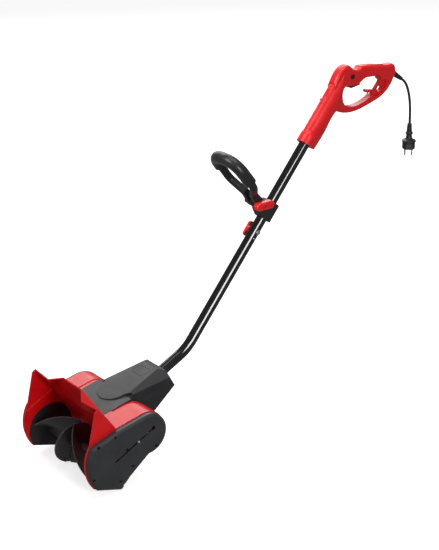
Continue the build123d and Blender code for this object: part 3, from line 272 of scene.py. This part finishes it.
def rubber(name, colour, rough, grain=1500.0, depth=0.00005, sheen=0.15, ribs=None):
    """Soft rubber or foam with a fine skin, paler where it is handled."""
    n = Nodes(name)
    handled = n.ramp(n.noise(24.0, detail=4.0, rough=0.6), low=0.4, high=0.75)
    paler = tuple(part * 1.6 + 0.006 for part in colour)
    n.link(n.mix(handled, colour, paler), n.shader.inputs["Base Color"])
    smears = n.noise(90.0, detail=4.0, rough=0.6)
    uneven = n.ramp(smears, *MIDDLE, start=rough - 0.05, end=rough + 0.08)
    n.link(uneven, n.shader.inputs["Roughness"])
    skin = n.bump(n.noise(grain, detail=3.0, rough=0.7), depth, under=n.rounded(RUBBER_EDGE))
    if ribs:
        skin = n.bump(n.bands(ribs, "X"), RIB_DEPTH, strength=0.6, under=skin)
    n.link(skin, n.shader.inputs["Normal"])
    n.shader.inputs["Sheen Weight"].default_value = sheen
    n.shader.inputs["Sheen Roughness"].default_value = SHEEN_ROUGH
    return n.material


SHEETS = 320.0
SHEET_DEPTH = 0.00008


def laminated(name, colour):
    """Stack of thin iron sheets: fine bands across the motor axis."""
    n = Nodes(name)
    sheets = n.bands(SHEETS, "X", distortion=0.3)
    darker = tuple(part * 0.5 for part in colour)
    base = n.mix(n.ramp(sheets, low=0.2, high=0.8), darker, colour)
    n.link(base, n.shader.inputs["Base Color"])
    n.shader.inputs["Metallic"].default_value = 1.0
    uneven = n.ramp(n.noise(300.0, detail=3.0), *MIDDLE, start=0.35, end=0.6)
    n.link(uneven, n.shader.inputs["Roughness"])
    n.link(n.bump(sheets, SHEET_DEPTH, strength=0.8), n.shader.inputs["Normal"])
    return n.material


WIRES = 260.0
WIRE_DEPTH = 0.0002


def wound(name, colour):
    """Enamelled copper wire: close bands of wire with a bright gloss."""
    n = Nodes(name)
    wires = n.bands(WIRES, "DIAGONAL", distortion=0.8)
    darker = tuple(part * 0.35 for part in colour)
    n.link(n.mix(wires, darker, colour), n.shader.inputs["Base Color"])
    n.shader.inputs["Metallic"].default_value = 1.0
    uneven = n.ramp(n.noise(200.0, detail=3.0), *MIDDLE, start=0.22, end=0.4)
    n.link(uneven, n.shader.inputs["Roughness"])
    n.link(n.bump(wires, WIRE_DEPTH, strength=0.8), n.shader.inputs["Normal"])
    return n.material


red_shell = plastic(
    "red_shell", (0.76, 0.004, 0.007), rough=0.30, grain=700.0, grain_depth=0.00002,
    worn_and_lit_colour=(0.90, 0.16, 0.15), wear_and_highlight=0.5, mottle=0.07, coat=0.15, edge=0.0008, shine=0.45,
)
red_handle = plastic(
    "red_handle", (0.78, 0.005, 0.009), rough=0.32, grain=1100.0, grain_depth=0.00003,
    worn_and_lit_colour=(0.88, 0.08, 0.08), wear_and_highlight=0.3, mottle=0.07, coat=0.1, edge=0.0008, shine=0.6,
)
red_knob = plastic(
    "red_knob", (0.84, 0.012, 0.012), rough=0.34, grain=1300.0, grain_depth=0.00002,
    worn_and_lit_colour=(0.90, 0.14, 0.13), wear_and_highlight=0.4, mottle=0.06, coat=0.15, edge=0.0006, shine=0.6,
)
charcoal_cover = plastic(
    "charcoal_cover", (0.036, 0.037, 0.042), rough=0.40, grain=800.0,
    worn_and_lit_colour=(0.11, 0.11, 0.12), wear_and_highlight=0.6, mottle=0.15, dust=0.10,
)
charcoal_housing = plastic(
    "charcoal_housing", (0.024, 0.0245, 0.027), rough=0.38, grain=650.0, grain_depth=0.00006,
    worn_and_lit_colour=(0.12, 0.12, 0.13), wear_and_highlight=0.6, mottle=0.13, dust=0.08, edge=0.0010, shine=0.4,
)
black_clamp = plastic(
    "black_clamp", (0.020, 0.020, 0.022), rough=0.42, grain_depth=0.00005,
    worn_and_lit_colour=(0.07, 0.07, 0.075), wear_and_highlight=0.5, mottle=0.15,
)
black_trigger = plastic(
    "black_trigger", (0.012, 0.012, 0.013), rough=0.38, grain=1100.0, mottle=0.1,
)
disc_black = plastic(
    "disc_black", (0.014, 0.014, 0.015), rough=0.5, grain=600.0, grain_depth=0.00006,
    worn_and_lit_colour=(0.06, 0.06, 0.065), wear_and_highlight=0.6, mottle=0.2, dust=0.12, scuffs=0.12,
)
inner_grey = plastic("inner_grey", (0.09, 0.09, 0.09), rough=0.5, grain=700.0, mottle=0.1)
# The pale grey edge colour at full strength paints a highlight along the blade edges, on top of
# some wear.
auger_black = plastic(
    "auger_black", (0.034, 0.034, 0.037), rough=0.30, grain=500.0, grain_depth=0.00005,
    worn_and_lit_colour=(0.50, 0.50, 0.51), wear_and_highlight=1.0, mottle=0.25, dust=0.15, scuffs=0.12, shine=0.7,
)
loop_black = plastic(
    "loop_black", (0.018, 0.018, 0.020), rough=0.34, grain=1200.0,
    worn_and_lit_colour=(0.09, 0.09, 0.095), wear_and_highlight=0.4, mottle=0.15,
)
brush_carbon = plastic(
    "brush_carbon", (0.03, 0.03, 0.03), rough=0.6, grain=1600.0, grain_depth=0.00006,
)
grip_foam = rubber(
    "grip_foam", (0.013, 0.013, 0.015), rough=0.30, grain=1400.0, depth=0.00006, sheen=0.08,
)
belt_rubber = rubber(
    "belt_rubber", (0.010, 0.010, 0.010), rough=0.6, grain=900.0, sheen=0.1, ribs=220.0,
)
cord_rubber = rubber(
    "cord_rubber", (0.010, 0.010, 0.011), rough=0.42, grain=1800.0, depth=0.00003, sheen=0.12,
)
plug_rubber = rubber(
    "plug_rubber", (0.011, 0.011, 0.012), rough=0.38, depth=0.00004, sheen=0.1,
)
black_tube = painted_tube("black_tube")
black_steel = metal("black_steel", (0.05, 0.05, 0.052), rough=0.35, brushed=(1.0, 1.0, 6.0))
bright_steel = metal("bright_steel", (0.72, 0.72, 0.73), rough=0.24, brushed=(1.0, 1.0, 12.0))
pin_nickel = metal(
    "pin_nickel", (0.70, 0.68, 0.64), rough=0.22, brushed=(9.0, 9.0, 1.0), stains=0.12,
)
commutator_copper = metal(
    "commutator_copper", (0.72, 0.34, 0.18), rough=0.3, brushed=(1.0, 10.0, 10.0),
)
iron_stack = laminated("iron_stack", (0.35, 0.35, 0.36))
copper_wire = wound("copper_wire", (0.70, 0.26, 0.10))

WORN_BY = (
    (red_shell, ("auger_housing",)),
    (charcoal_cover, ("belt_cover", "side_cover")),
    (auger_black, ("auger",)),
    (disc_black, ("end_disc_left", "end_disc_right", "scraper_blade")),
    (charcoal_housing, ("motor_housing_top", "motor_housing_bottom")),
    (inner_grey, (
        "auger_pulley", "motor_fan", "motor_frame_left", "motor_frame_right", "brush_holders",
        "switch",
    )),
    (bright_steel, (
        "motor_pulley", "auger_shaft", "shaft_nut", "auger_bearing_left", "auger_bearing_right",
        "motor_shaft", "motor_bearing_left", "motor_bearing_right", "tube_bolt", "snap_pin",
        "hinge_bolt", "trigger_pin", "handle_screws", "tension_screw",
    )),
    (black_steel, ("cover_screws",)),
    (belt_rubber, ("drive_belt",)),
    (iron_stack, ("armature", "stator_core")),
    (commutator_copper, ("commutator",)),
    (copper_wire, ("field_coils",)),
    (brush_carbon, ("carbon_brushes",)),
    (black_tube, ("lower_tube", "upper_tube")),
    (red_knob, ("wing_knob", "bar_knob")),
    (black_clamp, ("clamp_left", "clamp_right", "hinge_cap")),
    (loop_black, ("loop_handle",)),
    (grip_foam, ("loop_grip",)),
    (red_handle, ("handle_left", "handle_right")),
    (black_trigger, ("trigger", "lock_button")),
    (plug_rubber, ("cord_boot", "plug_body")),
    (pin_nickel, ("plug_pins",)),
    (cord_rubber, ("inner_cable",)),
)
LOOKS = {node: look for look, nodes in WORN_BY for node in nodes}
for node, look in LOOKS.items():
    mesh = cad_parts[node].data
    mesh.materials.clear()
    mesh.materials.append(look)


# ---------------------------------------------------------------- mains cord
# the lead's route in its upright plane, as (y, z)
CORD_ROUTE = [
    (0.580961, 0.818979), (0.591864, 0.811899), (0.601714, 0.799291), (0.610663, 0.779193),
    (0.618404, 0.748143), (0.621229, 0.712254), (0.621229, 0.687254),
]
CORD_DIAMETER = 0.007
CORD_STEPS = 16
CORD_SIDES = 8

cord_data = bpy.data.curves.new("lead", "CURVE")
cord_data.dimensions = "3D"
cord_line = cord_data.splines.new("NURBS")
cord_line.points.add(len(CORD_ROUTE) - 1)
for point, (y, z) in zip(cord_line.points, CORD_ROUTE):
    point.co = (CENTRE_X, y, z, 1.0)
cord_line.order_u = 3
cord_line.use_endpoint_u = True
cord_line.resolution_u = CORD_STEPS
cord_data.bevel_depth = CORD_DIAMETER / 2
cord_data.bevel_resolution = CORD_SIDES
cord_data.use_fill_caps = True
cord_data.materials.append(cord_rubber)
cord = bpy.data.objects.new("lead", cord_data)
SCENE.collection.objects.link(cord)
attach(cord, "machine")
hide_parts("mains_cord")


# ---------------------------------------------------------------- floor and light
FLOOR_HALF = 40.0
FLOOR_DULL = (0.93, 0.93, 0.93)
FLOOR_PALE = (0.96, 0.96, 0.96)
FLOOR_ROUGH = 0.9
FLOOR_SHINE = 0.1
FLOOR_GLOW = 0.73
WORLD_GLOW = 0.20           # what the pieces get; the camera sees plain white


def floor_material():
    """Studio paper that glows a little, so that it stays white away from the lamps."""
    n = Nodes("floor_paper")
    base = n.mix(n.ramp(n.noise(3.0), *MIDDLE), FLOOR_DULL, FLOOR_PALE)
    n.link(base, n.shader.inputs["Base Color"])
    n.shader.inputs["Roughness"].default_value = FLOOR_ROUGH
    n.shader.inputs["Specular IOR Level"].default_value = FLOOR_SHINE
    n.shader.inputs["Emission Color"].default_value = WHITE
    n.shader.inputs["Emission Strength"].default_value = FLOOR_GLOW
    return n.material


floor_corners = [
    (-FLOOR_HALF, -FLOOR_HALF, 0), (FLOOR_HALF, -FLOOR_HALF, 0),
    (FLOOR_HALF, FLOOR_HALF, 0), (-FLOOR_HALF, FLOOR_HALF, 0),
]
floor_mesh = bpy.data.meshes.new("floor")
floor_mesh.from_pydata(floor_corners, [], [(0, 1, 2, 3)])
floor_mesh.materials.append(floor_material())
floor = bpy.data.objects.new("floor", floor_mesh)
SCENE.collection.objects.link(floor)
floor.visible_diffuse = False
floor.visible_glossy = False

world = bpy.data.worlds.new("studio")
world.use_nodes = True
backdrop = world.node_tree.nodes["Background"]
backdrop.inputs["Color"].default_value = WHITE
ray = world.node_tree.nodes.new("ShaderNodeLightPath")
glow = world.node_tree.nodes.new("ShaderNodeMath")
glow.operation = "MAXIMUM"
glow.inputs[1].default_value = WORLD_GLOW
world.node_tree.links.new(ray.outputs["Is Camera Ray"], glow.inputs[0])
world.node_tree.links.new(glow.outputs[0], backdrop.inputs["Strength"])
SCENE.world = world

AIM = Vector((0.0, -0.1, 0.4))


def soft_light(name, place, size, power, reach=None):
    """A rectangular lamp aimed at the machine; with reach, it lights only those pieces."""
    data = bpy.data.lights.new(name, "AREA")
    data.shape = "RECTANGLE"
    data.size, data.size_y = size
    data.energy = power
    lamp = bpy.data.objects.new(name, data)
    lamp.location = place
    lamp.rotation_euler = (Vector(place) - AIM).to_track_quat("Z", "Y").to_euler()
    SCENE.collection.objects.link(lamp)
    if reach:
        group = bpy.data.collections.new(name + "_reach")
        for piece in reach:
            group.objects.link(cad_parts[piece])
        lamp.light_linking.receiver_collection = group


FRONT = (-0.2, -3.0, 2.9)
RIGHT = (2.9, -0.9, 0.9)
BOX = (1.5, 1.3)
TUBES = ("lower_tube", "upper_tube")
HELD = ("handle_left", "handle_right", "loop_handle", "loop_grip", "bar_knob", "wing_knob")
soft_light("backdrop_left", (-3.0, 1.5, 2.6), size=(3.4, 2.6), power=72.0)
soft_light("front_box", FRONT, BOX, power=36.0, reach=[x for x in LOOKS if x not in TUBES])
soft_light("upper_box", FRONT, BOX, power=60.0, reach=HELD)
soft_light("right_strip", RIGHT, size=(0.42, 2.2), power=42.0)
soft_light("tube_strip", RIGHT, size=(1.3, 2.4), power=210.0, reach=TUBES)
soft_light("overhead", (0.3, 0.2, 3.2), size=(2.0, 2.0), power=28.0)
SCENE.view_settings.view_transform = "Standard"
